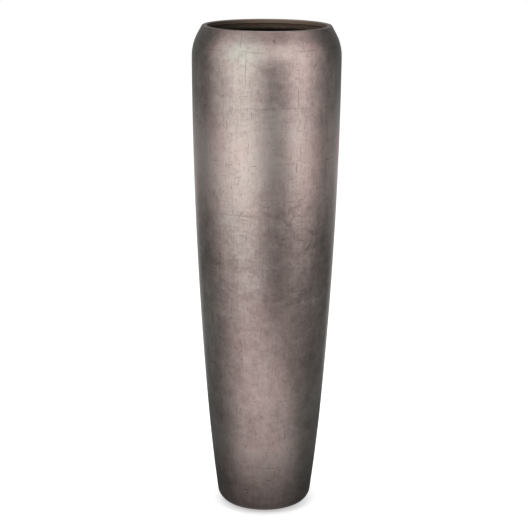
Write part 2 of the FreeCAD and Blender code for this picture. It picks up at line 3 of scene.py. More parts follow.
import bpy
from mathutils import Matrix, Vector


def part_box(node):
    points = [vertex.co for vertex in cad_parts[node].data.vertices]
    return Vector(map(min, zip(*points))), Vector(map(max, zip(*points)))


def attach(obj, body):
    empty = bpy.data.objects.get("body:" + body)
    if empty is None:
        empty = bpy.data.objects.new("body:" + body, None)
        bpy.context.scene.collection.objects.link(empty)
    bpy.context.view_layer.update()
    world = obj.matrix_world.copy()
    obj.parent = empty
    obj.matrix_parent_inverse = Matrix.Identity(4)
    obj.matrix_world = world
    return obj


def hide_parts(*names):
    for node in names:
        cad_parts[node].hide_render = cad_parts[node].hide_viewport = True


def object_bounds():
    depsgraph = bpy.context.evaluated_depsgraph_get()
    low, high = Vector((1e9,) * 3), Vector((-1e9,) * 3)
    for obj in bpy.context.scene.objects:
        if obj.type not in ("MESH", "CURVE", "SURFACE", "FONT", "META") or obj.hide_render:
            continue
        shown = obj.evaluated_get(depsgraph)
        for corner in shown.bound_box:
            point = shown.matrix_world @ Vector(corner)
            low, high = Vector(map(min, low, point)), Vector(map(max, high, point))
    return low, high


bl_info = {
    "name": "Leaf Lacquer Planter",
    "version": (1, 0, 0),
    "blender": (4, 5, 0),
    "location": "View3D > Sidebar > Planter",
    "description": "Builds a tall tapered floor planter with its planting insert, finishes and studio",
    "category": "Object",
}

from collections import namedtuple
from math import atan2, ceil, cos, hypot, pi, radians, sin, sqrt, tan

import bmesh
import bpy
from bpy.props import FloatProperty, FloatVectorProperty, IntProperty, PointerProperty
from mathutils import Matrix, Vector

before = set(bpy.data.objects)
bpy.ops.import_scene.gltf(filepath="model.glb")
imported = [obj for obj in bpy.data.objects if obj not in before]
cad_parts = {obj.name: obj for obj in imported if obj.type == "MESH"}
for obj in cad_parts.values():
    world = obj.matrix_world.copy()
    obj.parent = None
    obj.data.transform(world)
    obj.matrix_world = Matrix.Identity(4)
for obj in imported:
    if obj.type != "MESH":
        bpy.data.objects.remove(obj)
CAD_LOW, CAD_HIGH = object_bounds()

PHOTO_SIDE = 528
SENSOR = 36.0
LEFT, RIGHT = 1, -1
SHARP_EDGE = radians(38)
WELD = 1e-6
PADS = [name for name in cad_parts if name.startswith("floor_pad_")]
BRACKETS = [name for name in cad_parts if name.startswith("insert_bracket_")]


# Settings that a user would change

def length(name, description, default):
    return FloatProperty(name=name, description=description, default=default, unit="LENGTH", precision=4)


def angle(name, description, degrees):
    return FloatProperty(name=name, description=description, default=radians(degrees), subtype="ANGLE")


def colour(name, description, default):
    return FloatVectorProperty(
        name=name, description=description, default=default, size=3, min=0.0, max=1.0, subtype="COLOR"
    )


def share(name, description, default):
    return FloatProperty(
        name=name, description=description, default=default, min=0.0, max=1.0, subtype="FACTOR"
    )


def level(name, description, default):
    return FloatProperty(name=name, description=description, default=default, min=0.0, max=3.0)


class PlanterShell(bpy.types.PropertyGroup):
    """Section of the moulded shell."""

    height: length("Height", "Floor to the crest of the lip", CAD_HIGH.z)
    belly_radius: length("Belly radius", "Widest outside radius, at the shoulder", CAD_HIGH.x)
    shoulder_round: length("Shoulder rounding", "Outside radius of the shoulder in section", 0.1138)
    neck_lean: angle("Neck lean", "Lean of the neck from upright", 28.7)
    neck_slant: length("Neck slant", "Straight stretch of the neck, up to the lip's corner", 0.022)
    lip_width: length("Lip width", "Top of the lip, corner to mouth", 0.012)
    lip_round: length("Lip rounding", "Rounding of both edges of the lip", 0.003)
    lip_land: length("Lip land", "Upright inside face of the mouth below its rounding", 0.006)
    rim_flare: angle("Rim flare", "Lean from upright of the thickened rim's underside", 65)
    wall: length("Wall", "Thickness of the shell", 0.007)
    belly_lean: angle("Belly lean", "Lean of the wall just below the shoulder", 0.27)
    belly_taper: length("Belly taper", "Radius lost from the belly down to the knee", 0.0392)
    knee_height: length("Knee height", "Height where the wall starts to curve in faster", 0.25)
    foot_turn: angle("Foot turn", "Further lean gained from the knee down to the foot", 2.8)
    foot_round: length("Foot rounding", "Outside rounding of the foot", 0.0338)
    foot_flange: length("Foot flange", "Flat ring under the foot, around its opening", 0.0275)
    pad_height: length("Pad height", "Thickness of the floor pads", 0.003)
    unevenness: length("Unevenness", "How far the hand-finished surface strays from a true turning", 0.0003)
    segments: IntProperty(name="Segments", description="Faces around the shell", default=224, min=48, max=320)


class PlanterInsert(bpy.types.PropertyGroup):
    """Sheet-metal insert with its lugs, rivets and wire handles."""

    sheet: length("Sheet", "Thickness of the galvanised sheet", 0.0012)
    bead: length("Wired edge", "Radius of the wired edge", 0.003)
    bend: length("Bend", "Inside radius of the sheet's bends", 0.003)
    flange: length("Flange", "Edge of the insert in to its wall", 0.017)
    taper: angle("Taper", "Lean of the insert's wall from upright", 4)
    bond_gap: length("Bond gap", "Pan to wall", 0.0003)
    wire: length("Handle wire", "Radius of the handles' wire", 0.0025)
    handle_corner: length("Handle corner", "Corner radius at the wire's middle", 0.012)
    rivet_head: length("Rivet head", "Radius of the rivets' heads", 0.004)
    rivet_dome: length("Rivet dome", "Height of the rivets' heads", 0.0016)


class PlanterFinish(bpy.types.PropertyGroup):
    """Colours and scales of the finishes."""

    leaf_rose: colour("Rose leaf", "Metal leaf where it is warm", (0.68, 0.515, 0.48))
    leaf_silver: colour("Silver leaf", "Metal leaf where it is pale", (0.68, 0.575, 0.535))
    leaf_worn: colour("Worn leaf", "Metal leaf where it is rubbed down", (0.36, 0.285, 0.265))
    leaf_side: length("Leaf side", "Height of one square of metal leaf", 0.128)
    leaf_count: IntProperty(
        name="Leaves around", description="Squares of leaf around the shell", default=9, min=3
    )
    leaf_roughness: share("Leaf roughness", "How matt the lacquered leaf is", 0.335)
    # Paler than the paint's own brown: painted light that lifts the shade under the rim
    neck_brown: colour("Neck paint", "Paint inside the mouth", (0.46, 0.32, 0.235))
    # The same paint darkened by painted shade, for deep inside the neck
    neck_painted_shade: colour("Deep neck paint", "The same paint further down", (0.006, 0.005, 0.004))
    zinc: colour("Galvanised zinc", "Zinc spangle of the insert", (0.53, 0.535, 0.54))
    composite: colour("Composite", "Bare moulded shell, plate and brackets", (0.055, 0.052, 0.050))
    rubber: colour("Rubber", "Pads and plug", (0.018, 0.018, 0.019))


class PlanterStage(bpy.types.PropertyGroup):
    """Camera and studio."""

    camera_distance: length("Camera distance", "Camera to the planter's axis", 4.0)
    camera_height: length("Camera height", "Camera above the floor", 1.591)
    camera_pitch: angle("Camera pitch", "How far the camera looks down", 13.73)
    camera_yaw: angle("Camera yaw", "How far the camera looks to the left", 0.048)
    camera_roll: angle("Camera roll", "How far the camera is turned about its view", 0.37)
    focal_pixels: FloatProperty(
        name="Focal length", description="In pixels of the square picture", default=1670.6, min=100.0
    )
    tent_radius: length("Tent radius", "Cloth around the planter", 2.4)
    tent_height: length("Tent height", "Cloth above the planter", 3.2)
    left_level: level("Left window", "Light of the tall window at the left", 0.99)
    right_level: level("Right window", "Light of the tall window at the right", 1.30)
    bar_level: level("Bar", "Light of the bar above the camera", 1.05)
    back_level: level("Back", "Light from behind", 0.085)
    floor_level: level("Floor patch", "Light of the patch of floor in front", 0.62)
    cloth_level: level("Cloth", "Light of the dark cloth", 0.10)
    ceiling_level: level("Ceiling", "Light of the cloth overhead", 0.32)


# Node graphs

class Value:
    """A node's output that takes part in arithmetic; each step adds a Math node."""

    def __init__(self, graph, socket):
        self.graph = graph
        self.socket = socket

    def math(self, operation, *others):
        return self.graph.math(operation, self, *others)

    def __add__(self, other):
        return self.graph.math("ADD", self, other)

    __radd__ = __add__

    def __sub__(self, other):
        return self.graph.math("SUBTRACT", self, other)

    def __rsub__(self, other):
        return self.graph.math("SUBTRACT", other, self)

    def __mul__(self, other):
        return self.graph.math("MULTIPLY", self, other)

    __rmul__ = __mul__

    def __truediv__(self, other):
        return self.graph.math("DIVIDE", self, other)

    def output(self, name):
        return Value(self.graph, self.socket.node.outputs[name])

    def ramp(self, low, high):
        """0 at low, 1 at high, eased between them."""
        return self.graph.add(
            "ShaderNodeMapRange",
            {"interpolation_type": "SMOOTHSTEP"},
            {"Value": self, "From Min": low, "From Max": high},
        )


class Graph:
    """A node tree that is written as expressions."""

    def __init__(self, tree):
        self.tree = tree

    def add(self, kind, settings=None, inputs=None, out=0):
        node = self.tree.nodes.new(kind)
        for key, setting in (settings or {}).items():
            setattr(node, key, setting)
        for key, given in (inputs or {}).items():
            if isinstance(given, Value):
                self.tree.links.new(given.socket, node.inputs[key])
            else:
                node.inputs[key].default_value = given
        return Value(self, node.outputs[out]) if len(node.outputs) else None

    def math(self, operation, *operands):
        return self.add("ShaderNodeMath", {"operation": operation}, dict(enumerate(operands)))

    def split(self, vector):
        parts = self.add("ShaderNodeSeparateXYZ", inputs={0: vector})
        return parts, parts.output("Y"), parts.output("Z")

    def join(self, x, y, z):
        return self.add("ShaderNodeCombineXYZ", inputs={0: x, 1: y, 2: z})

    def noise(self, place, scale, detail=2.0, roughness=0.5, distortion=0.0):
        return self.add(
            "ShaderNodeTexNoise",
            inputs={
                "Vector": place,
                "Scale": scale,
                "Detail": detail,
                "Roughness": roughness,
                "Distortion": distortion,
            },
        )

    def mix(self, factor, first, second):
        """Colour mix; a plain colour is a triple."""
        sides = [side if isinstance(side, Value) else (*side, 1.0) for side in (first, second)]
        return self.add(
            "ShaderNodeMix",
            {"data_type": "RGBA"},
            {0: factor, 6: sides[0], 7: sides[1]},
            out=2,
        )


class Finish(Graph):
    """A material that is written as expressions and ends in one Principled shader."""

    def __init__(self, name):
        self.material = bpy.data.materials.new(name)
        self.material.use_nodes = True
        super().__init__(self.material.node_tree)
        self.shader = self.tree.nodes["Principled BSDF"]

    def place(self):
        return self.add("ShaderNodeTexCoord", out="Object")

    def surface(self, **settings):
        """Sets the shader's sockets; underscores stand for spaces."""
        for key, given in settings.items():
            socket = self.shader.inputs[key.replace("_", " ")]
            if isinstance(given, Value):
                self.tree.links.new(given.socket, socket)
            else:
                socket.default_value = given
        return self.material

    def show(self, shader):
        """Puts another shader in the Principled shader's place."""
        self.tree.links.new(shader.socket, self.tree.nodes["Material Output"].inputs["Surface"])
        return self.material

    def bump(self, height, distance, strength=1.0):
        return self.add(
            "ShaderNodeBump", inputs={"Height": height, "Distance": distance, "Strength": strength}
        )


# Finishes

# Where in the noise the leaf's clouds are taken from
CLOUD_PLACE = (1.3, 0.0, 0.7)

# Heights inside the neck: below the first the paint is darkened by painted shade, at the second it is fully
# brown, and towards the third, the lip's edge, it is dimmed by painted shade
NECK_DARK, NECK_BROWN, NECK_EDGE = 1.173, 1.187, 1.192

# Rows of leaf that came out paler or darker than the rest: height of the middle, half height, change of tone
LeafRow = namedtuple("LeafRow", "height half tone")
LEAF_ROWS = (
    LeafRow(1.035, 0.05, -0.22),
    LeafRow(0.90, 0.09, 0.15),
    LeafRow(0.67, 0.10, -0.32),
    LeafRow(0.24, 0.035, -0.32),
    LeafRow(0.185, 0.045, 0.18),
)


def leaf_lacquer(look):
    """Hand-laid squares of metal leaf under matt lacquer, with the paint of the neck's inside and painted
    light and shade on that paint.
    """
    finish = Finish("leaf_lacquer")
    place = finish.place()
    x, y, z = finish.split(place)
    around = finish.math("ARCTAN2", y, x)
    sway_x, sway_y, sway_z = finish.split(finish.noise(place, 11.0, 3.0, 0.6).output("Color"))

    # Squares of leaf in rows that start at random, and their seams
    rise = z / look.leaf_side + (sway_x - 0.5) * 0.12
    row = rise.math("FLOOR")
    shift = finish.add("ShaderNodeTexWhiteNoise", {"noise_dimensions": "1D"}, {"W": row})
    turn = around * (look.leaf_count / (2 * pi)) + shift + (sway_y - 0.5) * 0.12
    column = turn.math("FLOOR")
    leaf = finish.add(
        "ShaderNodeTexWhiteNoise", {"noise_dimensions": "2D"}, {"Vector": finish.join(column, row, 0.0)}
    )
    to_edge = rise.math("FRACT").math("MINIMUM", turn.math("FRACT"))
    seam = (1 - to_edge.ramp(0.0, 0.022)) * finish.noise(place, 14.0, 3.0, 0.6).ramp(0.47, 0.56)

    # Tone: clouds, mottle, grain, brush marks and the listed rows
    drift = finish.add("ShaderNodeMapping", inputs={"Vector": place, "Location": CLOUD_PLACE})
    clouds = finish.noise(drift, 7.5, 5.0, 0.62, 0.4)
    mottle = finish.noise(drift, 34.0, 5.0, 0.65, 0.5)
    grain = finish.noise(place, 150.0, 3.0, 0.6)
    brushed = finish.noise(finish.join(around * 62.0, z * 9.0, sway_z * 3.0), 1.0, 4.0, 0.65)
    tone = (clouds - 0.5) * 0.85 + (mottle - 0.5) * 1.2 + (grain - 0.5) * 0.75 + (brushed - 0.5) * 0.7
    wiped = finish.noise(finish.join(around * 7.0, z * 85.0 + sway_x * 6.0, 3.0), 1.0, 4.0, 0.65)
    tone = tone + (wiped - 0.5) * 0.9 + (leaf - 0.5) * 0.16
    for laid in LEAF_ROWS:
        away = (z + (sway_z - 0.5) * 0.05 - laid.height).math("ABSOLUTE")
        tone = tone + (1 - away.ramp(0.0, laid.half * 2.0)) * laid.tone

    # Scratches, cracks and pits
    upright = finish.noise(finish.join(around * 90.0 + sway_x * 8.0, z * 30.0, 0.0), 1.0, 2.0)
    lying = finish.noise(finish.join(around * 9.0, z * 330.0 + sway_y * 12.0, 7.0), 1.0, 2.0)
    scratch = upright.ramp(0.63, 0.71) * 0.85 + lying.ramp(0.64, 0.72) * 0.45
    torn = finish.add(
        "ShaderNodeTexVoronoi",
        {"feature": "DISTANCE_TO_EDGE"},
        {"Vector": finish.join(around * 10.0, z * 38.0, sway_z * 2.0), "Scale": 1.0},
    )
    crack = (1 - torn.ramp(0.0, 0.025)) * finish.noise(place, 42.0, 2.0).ramp(0.56, 0.64)
    pit = finish.noise(place, 190.0, 1.0).ramp(0.73, 0.78)
    scar = (seam * 0.6 + crack * 0.9 + pit * 0.45 + scratch).math("MINIMUM", 1.0)

    metal = finish.mix((clouds + mottle * 0.5).ramp(0.55, 1.0), look.leaf_rose, look.leaf_silver)
    metal = finish.mix(tone * 1.03 + 0.79, look.leaf_worn, metal)
    metal = finish.mix(scar * 0.9, metal, tuple(0.7 * part for part in look.leaf_worn))

    # Paint of the neck: brown, with painted shade that darkens it further down and towards the lip's edge,
    # and painted light that is strongest at the back's middle and fainter to its sides
    painted = finish.add("ShaderNodeAttribute", {"attribute_name": "paint"}, out="Fac")
    paint = (painted + (grain - 0.5) * 0.3).ramp(0.30, 0.45)
    depth = z + (mottle - 0.5) * 0.008
    painted_side_light = x.ramp(-0.15, 0.03) * (1 - x.ramp(0.06, 0.16) * 0.5)
    painted_depth_shade = depth.ramp(NECK_DARK, NECK_BROWN) * (1 - depth.ramp(NECK_BROWN, NECK_EDGE) * 0.61)
    brown = finish.mix(painted_depth_shade * (painted_side_light * 0.85 + 0.15), look.neck_painted_shade, look.neck_brown)

    gloss = look.leaf_roughness + (clouds - 0.5) * 0.20 + (mottle - 0.5) * 0.18 + scar * 0.15
    swell = finish.noise(drift, 16.0, 2.0) * 0.6 + mottle * 0.36 + grain * 0.03 - scar * 0.03
    return finish.surface(
        Base_Color=finish.mix(paint, metal, brown),
        Metallic=1 - paint,
        Roughness=gloss + paint * 0.35,
        Coat_Weight=0.55 - paint * 0.55,
        Coat_Roughness=0.30,
        Coat_IOR=1.6,
        Normal=finish.bump(swell, 0.004, 0.5),
    )


def galvanised_sheet(look):
    """Hot-dipped zinc with its spangle and a few dull runs."""
    finish = Finish("galvanised_sheet")
    place = finish.place()
    spangle = finish.add("ShaderNodeTexVoronoi", inputs={"Vector": place, "Scale": 95.0, "Randomness": 1.0})
    crystal, _, _ = finish.split(spangle.output("Color"))
    frost = finish.noise(place, 30.0, 4.0, 0.6)
    tone = (crystal - 0.5) * 0.55 + (frost - 0.5) * 0.7 + 0.5
    dull = tuple(0.62 * part for part in look.zinc)
    bright = tuple(min(1.0, 1.22 * part) for part in look.zinc)
    drawn = finish.add("ShaderNodeMapping", inputs={"Vector": place, "Scale": (60, 60, 900)})
    scratch = finish.noise(drawn, 1.0)
    return finish.surface(
        Base_Color=finish.mix(tone.ramp(0.1, 0.9), dull, bright),
        Metallic=1.0,
        Roughness=0.42 + (crystal - 0.5) * 0.18 + (frost - 0.5) * 0.15,
        Normal=finish.bump(crystal * 0.3 + scratch * 0.15 + frost * 0.5, 0.0006, 0.4),
    )


def plain_metal(name, dull, bright, roughness, scale, grain):
    """Cast, turned or plated metal: blotchy tone, fine tool grain and small dents."""
    finish = Finish(name)
    place = finish.place()
    blotch = finish.noise(place, scale, 4.0, 0.6)
    fine = finish.noise(place, grain, 3.0, 0.6)
    return finish.surface(
        Base_Color=finish.mix(blotch.ramp(0.3, 0.7), dull, bright),
        Metallic=1.0,
        Roughness=roughness + (fine - 0.5) * 0.2,
        Normal=finish.bump(fine * 0.6 + blotch * 0.4, 0.0004, 0.35),
    )


def moulded_composite(look):
    """Fibre-filled resin as it leaves the mould: dark, with pale fibres and rolled-out streaks."""
    finish = Finish("moulded_composite")
    place = finish.place()
    cloud = finish.noise(place, 18.0, 4.0, 0.6)
    fibre = finish.add(
        "ShaderNodeTexVoronoi",
        {"feature": "DISTANCE_TO_EDGE"},
        {"Vector": finish.noise(place, 40.0, 1.0).output("Color"), "Scale": 14.0},
    )
    strand = (1 - fibre.ramp(0.0, 0.05)) * 0.5
    pale = tuple(min(1.0, 2.3 * part) for part in look.composite)
    return finish.surface(
        Base_Color=finish.mix(cloud.ramp(0.25, 0.75) * 0.5 + strand, look.composite, pale),
        Roughness=0.52 + (cloud - 0.5) * 0.3,
        Normal=finish.bump(strand + cloud * 0.5, 0.0008, 0.4),
    )


def black_rubber(look):
    """Moulded rubber with bloom and scuffs."""
    finish = Finish("black_rubber")
    place = finish.place()
    bloom = finish.noise(place, 60.0, 4.0, 0.6)
    grain = finish.noise(place, 900.0, 2.0)
    pale = tuple(part * 2.6 for part in look.rubber)
    return finish.surface(
        Base_Color=finish.mix(bloom.ramp(0.35, 0.75), look.rubber, pale),
        Roughness=0.62 + (bloom - 0.5) * 0.25,
        Normal=finish.bump(grain * 0.4 + bloom * 0.6, 0.0003, 0.5),
    )


def mortar():
    """Cast mortar: sandy, with air holes."""
    finish = Finish("mortar")
    place = finish.place()
    sand = finish.noise(place, 420.0, 3.0, 0.7)
    cloud = finish.noise(place, 14.0, 4.0, 0.6)
    bubble = finish.add("ShaderNodeTexVoronoi", inputs={"Vector": place, "Scale": 130.0})
    hole = 1 - bubble.ramp(0.08, 0.2)
    tone = cloud.ramp(0.25, 0.75) * 0.7 + (sand - 0.5) * 0.6
    return finish.surface(
        # The air holes are also darkened in the colour, as painted shade
        Base_Color=finish.mix(tone - hole * 0.4, (0.20, 0.19, 0.175), (0.42, 0.405, 0.375)),
        Roughness=0.85 + (sand - 0.5) * 0.1,
        Normal=finish.bump(sand * 0.4 + cloud * 0.4 - hole * 0.6, 0.0012, 0.6),
    )


def drain_pipe():
    """Grey extruded pipe with faint draw lines."""
    finish = Finish("drain_pipe")
    place = finish.place()
    x, y, _ = finish.split(place)
    lines = finish.noise(finish.join(finish.math("ARCTAN2", y, x) * 30.0, 0.0, 0.0), 1.0, 3.0)
    dirt = finish.noise(place, 45.0, 4.0, 0.6)
    return finish.surface(
        Base_Color=finish.mix(dirt.ramp(0.3, 0.8), (0.24, 0.245, 0.25), (0.34, 0.345, 0.35)),
        Roughness=0.45 + (dirt - 0.5) * 0.2,
        Normal=finish.bump(lines * 0.5 + dirt * 0.3, 0.0004, 0.4),
    )


# Outlines

# A corner of an outline in the planter's section. Where the edge that leaves it is an arc, also the arc's
# radius, the side of the travel on which its middle lies, and whether it is more than a half circle.
Corner = namedtuple("Corner", "r z radius side large", defaults=(None, LEFT, False))


def trace(corners, spacing, arc_step=radians(10)):
    """Points along the outline, none further apart than the spacing, up to but without its last corner."""
    points = []
    for corner, following in zip(corners, corners[1:]):
        start = Vector((corner.r, corner.z))
        end = Vector((following.r, following.z))
        chord = end - start
        if corner.radius is None:
            steps = max(1, ceil(chord.length / spacing))
            points += [start.lerp(end, step / steps) for step in range(steps)]
            continue
        across = Vector((-chord.y, chord.x)).normalized() * corner.side
        reach = sqrt(max(corner.radius ** 2 - (chord.length / 2) ** 2, 0.0))
        middle = (start + end) / 2 + across * (-reach if corner.large else reach)
        first = atan2(start.y - middle.y, start.x - middle.x)
        last = atan2(end.y - middle.y, end.x - middle.x)
        sweep = corner.side * ((last - first) * corner.side % (2 * pi))
        steps = max(3, ceil(abs(sweep) / arc_step), ceil(abs(sweep) * corner.radius / spacing))
        for step in range(steps):
            bearing = first + sweep * step / steps
            points.append(middle + corner.radius * Vector((cos(bearing), sin(bearing))))
    return points


def shell_rows(size):
    """The shell's closed section as rows of radius, height and share of neck paint."""
    neck_rise = size.shoulder_round * sin(size.neck_lean) + size.neck_slant * cos(size.neck_lean)
    shoulder_z = size.height - neck_rise
    shoulder_r = size.belly_radius - size.shoulder_round
    lip_r = shoulder_r + size.shoulder_round * cos(size.neck_lean) - size.neck_slant * sin(size.neck_lean)
    setback = size.lip_round * tan(pi / 4 - size.neck_lean / 2)
    mouth_r = lip_r - size.lip_width
    land_z = size.height - size.lip_round - size.lip_land
    rim_drop = (
        size.lip_width - size.wall / cos(size.neck_lean) + (size.height - land_z) * tan(size.neck_lean)
    ) / (tan(size.rim_flare) - tan(size.neck_lean))
    knee_r = size.belly_radius - size.belly_taper
    upper_rise = shoulder_z - size.shoulder_round * sin(size.belly_lean) - size.knee_height
    chord_lean = atan2(size.belly_taper, upper_rise)
    upper_arc = hypot(upper_rise, size.belly_taper) / (2 * sin(chord_lean - size.belly_lean))
    knee_lean = 2 * chord_lean - size.belly_lean
    foot_lean = knee_lean + size.foot_turn
    foot_z = size.pad_height + size.foot_round
    lower_rise = size.knee_height - foot_z + size.foot_round * sin(foot_lean)
    lower_arc = lower_rise / (sin(foot_lean) - sin(knee_lean))
    lower_r = knee_r - lower_arc * cos(knee_lean)
    foot_r = lower_r + (lower_arc - size.foot_round) * cos(foot_lean)

    def neck(inside):
        left = size.shoulder_round - inside
        return shoulder_r + left * cos(size.neck_lean), shoulder_z + left * sin(size.neck_lean)

    def belly(inside):
        left = size.shoulder_round - inside
        return shoulder_r + left * cos(size.belly_lean), shoulder_z - left * sin(size.belly_lean)

    def knee(inside):
        return knee_r - inside * cos(knee_lean), size.knee_height + inside * sin(knee_lean)

    def foot(inside):
        left = size.foot_round - inside
        return foot_r + left * cos(foot_lean), foot_z - left * sin(foot_lean)

    opening = Corner(foot_r - size.foot_flange, size.pad_height)
    mouth = Corner(mouth_r + size.lip_round, size.height, size.lip_round)
    land = Corner(mouth_r, size.height - size.lip_round)
    outside = [
        opening,
        Corner(foot_r, size.pad_height, size.foot_round),
        Corner(*foot(0), lower_arc),
        Corner(*knee(0), upper_arc),
        Corner(*belly(0), size.shoulder_round),
        Corner(*neck(0)),
        Corner(
            lip_r + setback * sin(size.neck_lean), size.height - setback * cos(size.neck_lean), size.lip_round
        ),
        Corner(lip_r - setback, size.height),
        mouth,
    ]
    inside = [
        land,
        Corner(mouth_r, land_z),
        Corner(mouth_r + rim_drop * tan(size.rim_flare), land_z - rim_drop),
        Corner(*neck(size.wall), size.shoulder_round - size.wall, RIGHT),
        Corner(*belly(size.wall), upper_arc - size.wall, RIGHT),
        Corner(*knee(size.wall), lower_arc - size.wall, RIGHT),
        Corner(*foot(size.wall), size.foot_round - size.wall, RIGHT),
        Corner(foot_r, size.pad_height + size.wall),
        Corner(opening.r, size.pad_height + size.wall),
        opening,
    ]
    rounding = trace([mouth, land], spacing=0.001)
    rows = [(*point, 0.0) for point in trace(outside, spacing=0.009, arc_step=radians(5))]
    rows += [(*point, step / len(rounding)) for step, point in enumerate(rounding)]
    rows += [(*point, 1.0) for point in trace(inside, spacing=0.03)]
    rows.append(rows[0])
    return rows


# Geometry node trees

def new_tree(name, sockets):
    """The graph of a new geometry tree, and its named inputs."""
    tree = bpy.data.node_groups.new(name, "GeometryNodeTree")
    tree.is_modifier = True
    tree.interface.new_socket("Geometry", in_out="INPUT", socket_type="NodeSocketGeometry")
    for label, kind in sockets:
        tree.interface.new_socket(label, in_out="INPUT", socket_type=kind)
    tree.interface.new_socket("Geometry", in_out="OUTPUT", socket_type="NodeSocketGeometry")
    graph = Graph(tree)
    return graph, graph.add("NodeGroupInput")


def finished_tree(graph, given, geometry):
    """The tree, which ends in real geometry with its material."""
    real = graph.add("GeometryNodeRealizeInstances", inputs={"Geometry": geometry})
    coated = graph.add(
        "GeometryNodeSetMaterial", inputs={"Geometry": real, "Material": given.output("Material")}
    )
    graph.add("NodeGroupOutput", inputs={"Geometry": coated})
    return graph.tree


def turning_tree():
    """Turns a section, given as a row of points, once around the Z axis."""
    graph, given = new_tree("turned_section", [
        ("Segments", "NodeSocketInt"),
        ("Unevenness", "NodeSocketFloat"),
        ("Waves", "NodeSocketFloat"),
        ("Material", "NodeSocketMaterial"),
    ])
    count = graph.add("GeometryNodeAttributeDomainSize", {"component": "MESH"}, {"Geometry": given})
    grid = graph.add("GeometryNodeMeshGrid", inputs={
        "Size X": 1.0,
        "Size Y": 1.0,
        "Vertices X": given.output("Segments") + 1,
        "Vertices Y": count,
    })
    here = graph.add("GeometryNodeInputPosition")
    across, along, _ = graph.split(here)
    row = ((along + 0.5) * (count - 1)).math("ROUND")

    def sample(kind, value):
        return graph.add(
            "GeometryNodeSampleIndex",
            {"data_type": kind, "domain": "POINT"},
            {"Geometry": given, "Value": value, "Index": row},
        )

    mark = graph.add("GeometryNodeInputNamedAttribute", {"data_type": "FLOAT"}, {"Name": "paint"})
    marked = graph.add(
        "GeometryNodeStoreNamedAttribute",
        {"data_type": "FLOAT", "domain": "POINT"},
        {"Geometry": grid, "Name": "paint", "Value": sample("FLOAT", mark)},
    )
    radius, _, height = graph.split(sample("FLOAT_VECTOR", here))
    bearing = (across + 0.5) * (2 * pi)
    east = bearing.math("COSINE")
    north = bearing.math("SINE")
    wave = graph.noise(graph.join(radius * east, radius * north, height), given.output("Waves"), 2.0)
    stray = radius + (wave - 0.5) * given.output("Unevenness") * 2.0
    turned = graph.add(
        "GeometryNodeSetPosition",
        inputs={"Geometry": marked, "Position": graph.join(stray * east, stray * north, height)},
    )
    closed = graph.add("GeometryNodeMergeByDistance", inputs={"Geometry": turned, "Distance": WELD})
    smooth = graph.add("GeometryNodeSetShadeSmooth", inputs={"Geometry": closed})
    return finished_tree(graph, given, smooth)


def wire_tree():
    """Sweeps a round wire along a loop of edges."""
    graph, given = new_tree("swept_wire", [
        ("Radius", "NodeSocketFloat"),
        ("Facets", "NodeSocketInt"),
        ("Material", "NodeSocketMaterial"),
    ])
    path = graph.add("GeometryNodeMeshToCurve", inputs={"Mesh": given})
    ring = graph.add(
        "GeometryNodeCurvePrimitiveCircle",
        inputs={"Resolution": given.output("Facets"), "Radius": given.output("Radius")},
    )
    wire = graph.add("GeometryNodeCurveToMesh", inputs={"Curve": path, "Profile Curve": ring})
    smooth = graph.add("GeometryNodeSetShadeSmooth", inputs={"Geometry": wire})
    return finished_tree(graph, given, smooth)


def repeat_tree():
    """Puts one shape on every point, with its Z axis along the point's aim."""
    graph, given = new_tree("repeated_shape", [
        ("Shape", "NodeSocketObject"),
        ("Material", "NodeSocketMaterial"),
    ])
    shape = graph.add("GeometryNodeObjectInfo", inputs={"Object": given.output("Shape")}, out="Geometry")
    aim = graph.add("GeometryNodeInputNamedAttribute", {"data_type": "FLOAT_VECTOR"}, {"Name": "aim"})
    turn = graph.add("FunctionNodeAlignRotationToVector", {"axis": "Z"}, {"Vector": aim})
    points = graph.add("GeometryNodeMeshToPoints", inputs={"Mesh": given})
    copies = graph.add(
        "GeometryNodeInstanceOnPoints", inputs={"Points": points, "Instance": shape, "Rotation": turn}
    )
    return finished_tree(graph, given, copies)


def placed(name, mesh):
    piece = bpy.data.objects.new(name, mesh)
    bpy.context.scene.collection.objects.link(piece)
    return piece


def grown(name, seed, tree, inputs):
    """Runs a tree on a seed mesh and keeps the result as a plain mesh in a new object."""
    source = placed(f"{name}_seed", seed)
    modifier = source.modifiers.new(tree.name, "NODES")
    modifier.node_group = tree
    for item in tree.interface.items_tree:
        if item.item_type == "SOCKET" and item.in_out == "INPUT" and item.name in inputs:
            modifier[item.identifier] = inputs[item.name]
    graph = bpy.context.evaluated_depsgraph_get()
    mesh = bpy.data.meshes.new_from_object(
        source.evaluated_get(graph), preserve_all_data_layers=True, depsgraph=graph
    )
    source.modifiers.remove(modifier)
    bpy.data.objects.remove(source)
    mesh.name = name
    face_outwards(mesh)
    mesh.set_sharp_from_angle(angle=SHARP_EDGE)
    return placed(name, mesh)


def face_outwards(mesh):
    work = bmesh.new()
    work.from_mesh(mesh)
    bmesh.ops.remove_doubles(work, verts=work.verts, dist=WELD)
    bmesh.ops.recalc_face_normals(work, faces=work.faces)
    work.to_mesh(mesh)
    work.free()


def turned_piece(name, rows, finish, segments, unevenness=0.0, waves=8.0):
    """A turned piece from rows of radius, height and share of paint."""
    seed = bpy.data.meshes.new(f"{name}_section")
    links = [(row, row + 1) for row in range(len(rows) - 1)]
    seed.from_pydata([(radius, 0.0, height) for radius, height, _ in rows], links, [])
    mark = seed.attributes.new("paint", "FLOAT", "POINT")
    mark.data.foreach_set("value", [paint for _, _, paint in rows])
    return grown(name, seed, turning_tree(), {
        "Segments": segments,
        "Unevenness": unevenness,
        "Waves": waves,
        "Material": finish,
    })


